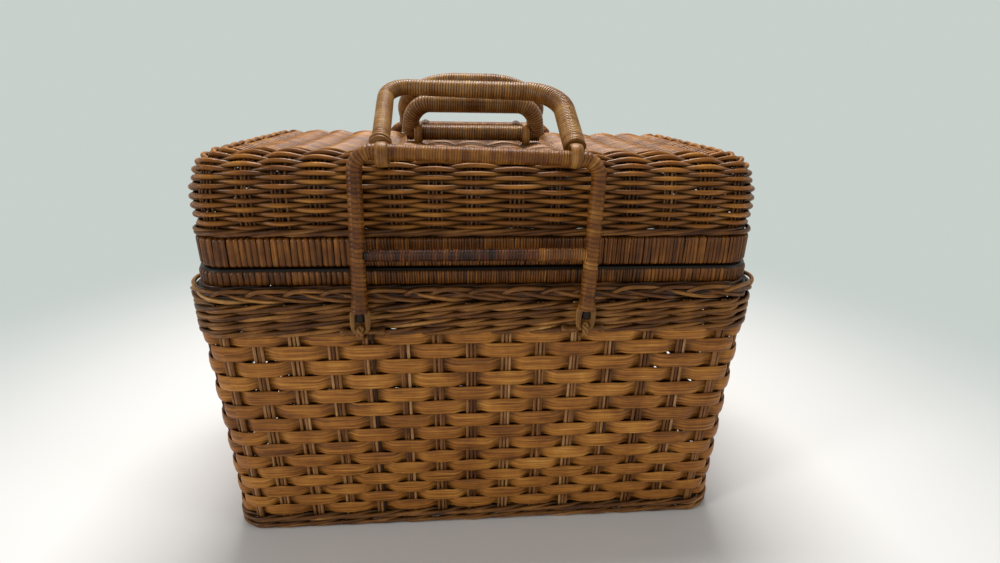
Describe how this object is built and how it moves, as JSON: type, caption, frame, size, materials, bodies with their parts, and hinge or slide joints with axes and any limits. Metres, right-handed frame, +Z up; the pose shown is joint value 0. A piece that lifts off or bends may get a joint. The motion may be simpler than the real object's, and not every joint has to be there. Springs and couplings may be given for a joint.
{
  "type": "picnic basket",
  "caption": "Rattan picnic hamper with a domed hinged lid, swing frames that carry folding grips at front and back, and a ring handle strapped to the lid.",
  "frame": {"origin": "on the ground under the middle of the foot", "axes": "+Z up, X along the basket's length, the front faces -Y"},
  "size_m": [0.47, 0.2716, 0.4002],
  "materials": {
    "flat_reed": "woven flat reed, satin",
    "round_reed": "woven round reed, satin",
    "wale_rod": "twisted round rods, satin",
    "rim_wrap": "flat hoop wrapped in stained cane, satin",
    "grip_wrap": "rattan pole wrapped in cane, satin",
    "dark_wrap": "rattan pole wrapped in dark varnished cane, gloss",
    "binding_cane": "peeled cane, satin",
    "base_weave": "woven reed base, matt"
  },
  "bodies": {
    "body": {"base_panel": "base_weave", "foot_wale": "wale_rod", "body_wall": "flat_reed", "top_wale": "wale_rod", "folded_border": "wale_rod", "body_rim": "rim_wrap", "hinge_loop_left": "binding_cane", "hinge_loop_right": "binding_cane", "front_left_anchor_pin": "binding_cane", "front_left_knot": "binding_cane", "front_right_anchor_pin": "binding_cane", "front_right_knot": "binding_cane", "rear_left_anchor_pin": "binding_cane", "rear_left_knot": "binding_cane", "rear_right_anchor_pin": "binding_cane", "rear_right_knot": "binding_cane"},
    "lid": {"lid_rim": "rim_wrap", "lid_wale": "wale_rod", "lid_dome": "round_reed", "ring_strap_left": "binding_cane", "ring_strap_right": "binding_cane"},
    "ring_handle": {"lid_ring_handle": "grip_wrap"},
    "front_frame": {"front_swing_frame": "grip_wrap", "front_cross_bar": "dark_wrap"},
    "front_handle": {"front_carry_handle": "grip_wrap", "front_left_handle_loop": "binding_cane", "front_right_handle_loop": "binding_cane"},
    "rear_frame": {"rear_swing_frame": "grip_wrap", "rear_cross_bar": "dark_wrap"},
    "rear_handle": {"rear_carry_handle": "grip_wrap", "rear_left_handle_loop": "binding_cane", "rear_right_handle_loop": "binding_cane"}
  },
  "joints": [
    {"name": "lid_hinge", "type": "hinge", "parent": "body", "child": "lid", "pos_m": [0, 0.112, 0.25355], "axis": [-1, 0, 0], "range_deg": [0, 100]},
    {"name": "front_frame_swing", "type": "hinge", "parent": "body", "child": "front_frame", "pos_m": [-0.005, -0.13, 0.209], "axis": [1, 0, 0], "range_deg": [0, 110]},
    {"name": "rear_frame_swing", "type": "hinge", "parent": "body", "child": "rear_frame", "pos_m": [-0.005, 0.13, 0.209], "axis": [-1, 0, 0], "range_deg": [0, 110]},
    {"name": "front_handle_fold", "type": "hinge", "parent": "front_frame", "child": "front_handle", "pos_m": [-0.005, -0.115, 0.3417], "axis": [1, 0, 0], "range_deg": [0, 220]},
    {"name": "rear_handle_fold", "type": "hinge", "parent": "rear_frame", "child": "rear_handle", "pos_m": [-0.005, 0.115, 0.3455], "axis": [-1, 0, 0], "range_deg": [0, 214]},
    {"name": "ring_handle_fold", "type": "hinge", "parent": "lid", "child": "ring_handle", "pos_m": [-0.005, -0.0034, 0.3484], "axis": [1, 0, 0], "range_deg": [-106, 66]}
  ],
  "couplings": [
    {"joint": "front_frame_swing", "follows": "lid_hinge", "ratio": 1.1},
    {"joint": "rear_frame_swing", "follows": "lid_hinge", "ratio": 1.1}
  ]
}
